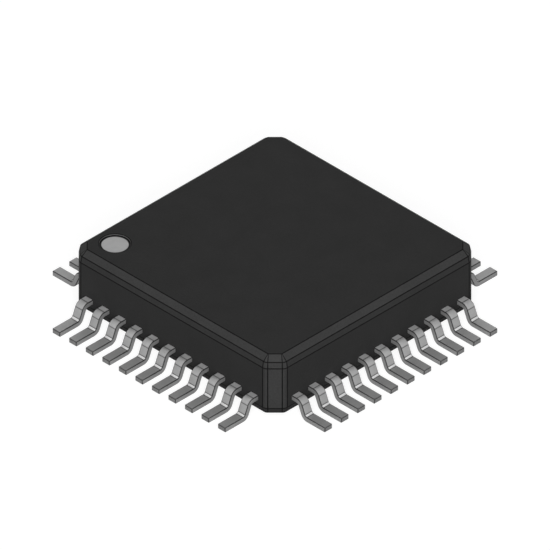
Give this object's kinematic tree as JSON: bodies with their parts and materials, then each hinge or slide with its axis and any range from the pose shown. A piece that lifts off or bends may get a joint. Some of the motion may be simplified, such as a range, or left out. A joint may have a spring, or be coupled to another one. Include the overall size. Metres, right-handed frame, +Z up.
{
  "type": "quad flat pack chip",
  "caption": "Quad flat pack chip: bevelled square moulded body, gull-wing leads on all four sides, a dot at pin one, and the die, pad and bond wires inside.",
  "frame": {"origin": "under the middle of the body, on the plane that the feet stand on", "axes": "+Z up out of the top face; +X and +Y square to the sides of the body; pin one is the lead at the -X end of the -Y side, beside the mark at the -X -Y corner, and the numbers run counter-clockwise from above"},
  "size_m": [0.0132, 0.0132, 0.0025],
  "materials": {
    "epoxy": "matte black moulded epoxy with a fine even texture",
    "mark_ink": "flat pale grey ink on the floor of the dimple",
    "tinned_lead": "matte tin plating on copper alloy, satin grey",
    "pad_copper": "stamped copper alloy sheet, satin",
    "adhesive": "cured silver-filled paste, dull",
    "silicon": "polished dark grey silicon",
    "bond_gold": "bright drawn gold wire"
  },
  "bodies": {
    "root": {"body": "epoxy", "pin_one_mark": "mark_ink", "lead_01": "tinned_lead", "lead_02": "tinned_lead", "lead_03": "tinned_lead", "lead_04": "tinned_lead", "lead_05": "tinned_lead", "lead_06": "tinned_lead", "lead_07": "tinned_lead", "lead_08": "tinned_lead", "lead_09": "tinned_lead", "lead_10": "tinned_lead", "lead_11": "tinned_lead", "lead_12": "tinned_lead", "lead_13": "tinned_lead", "lead_14": "tinned_lead", "lead_15": "tinned_lead", "lead_16": "tinned_lead", "lead_17": "tinned_lead", "lead_18": "tinned_lead", "lead_19": "tinned_lead", "lead_20": "tinned_lead", "lead_21": "tinned_lead", "lead_22": "tinned_lead", "lead_23": "tinned_lead", "lead_24": "tinned_lead", "lead_25": "tinned_lead", "lead_26": "tinned_lead", "lead_27": "tinned_lead", "lead_28": "tinned_lead", "lead_29": "tinned_lead", "lead_30": "tinned_lead", "lead_31": "tinned_lead", "lead_32": "tinned_lead", "lead_33": "tinned_lead", "lead_34": "tinned_lead", "lead_35": "tinned_lead", "lead_36": "tinned_lead", "lead_37": "tinned_lead", "lead_38": "tinned_lead", "lead_39": "tinned_lead", "lead_40": "tinned_lead", "lead_41": "tinned_lead", "lead_42": "tinned_lead", "lead_43": "tinned_lead", "lead_44": "tinned_lead", "die_pad": "pad_copper", "die_attach": "adhesive", "die": "silicon", "wires_front": "bond_gold", "wires_right": "bond_gold", "wires_back": "bond_gold", "wires_left": "bond_gold"}
  },
  "joints": []
}
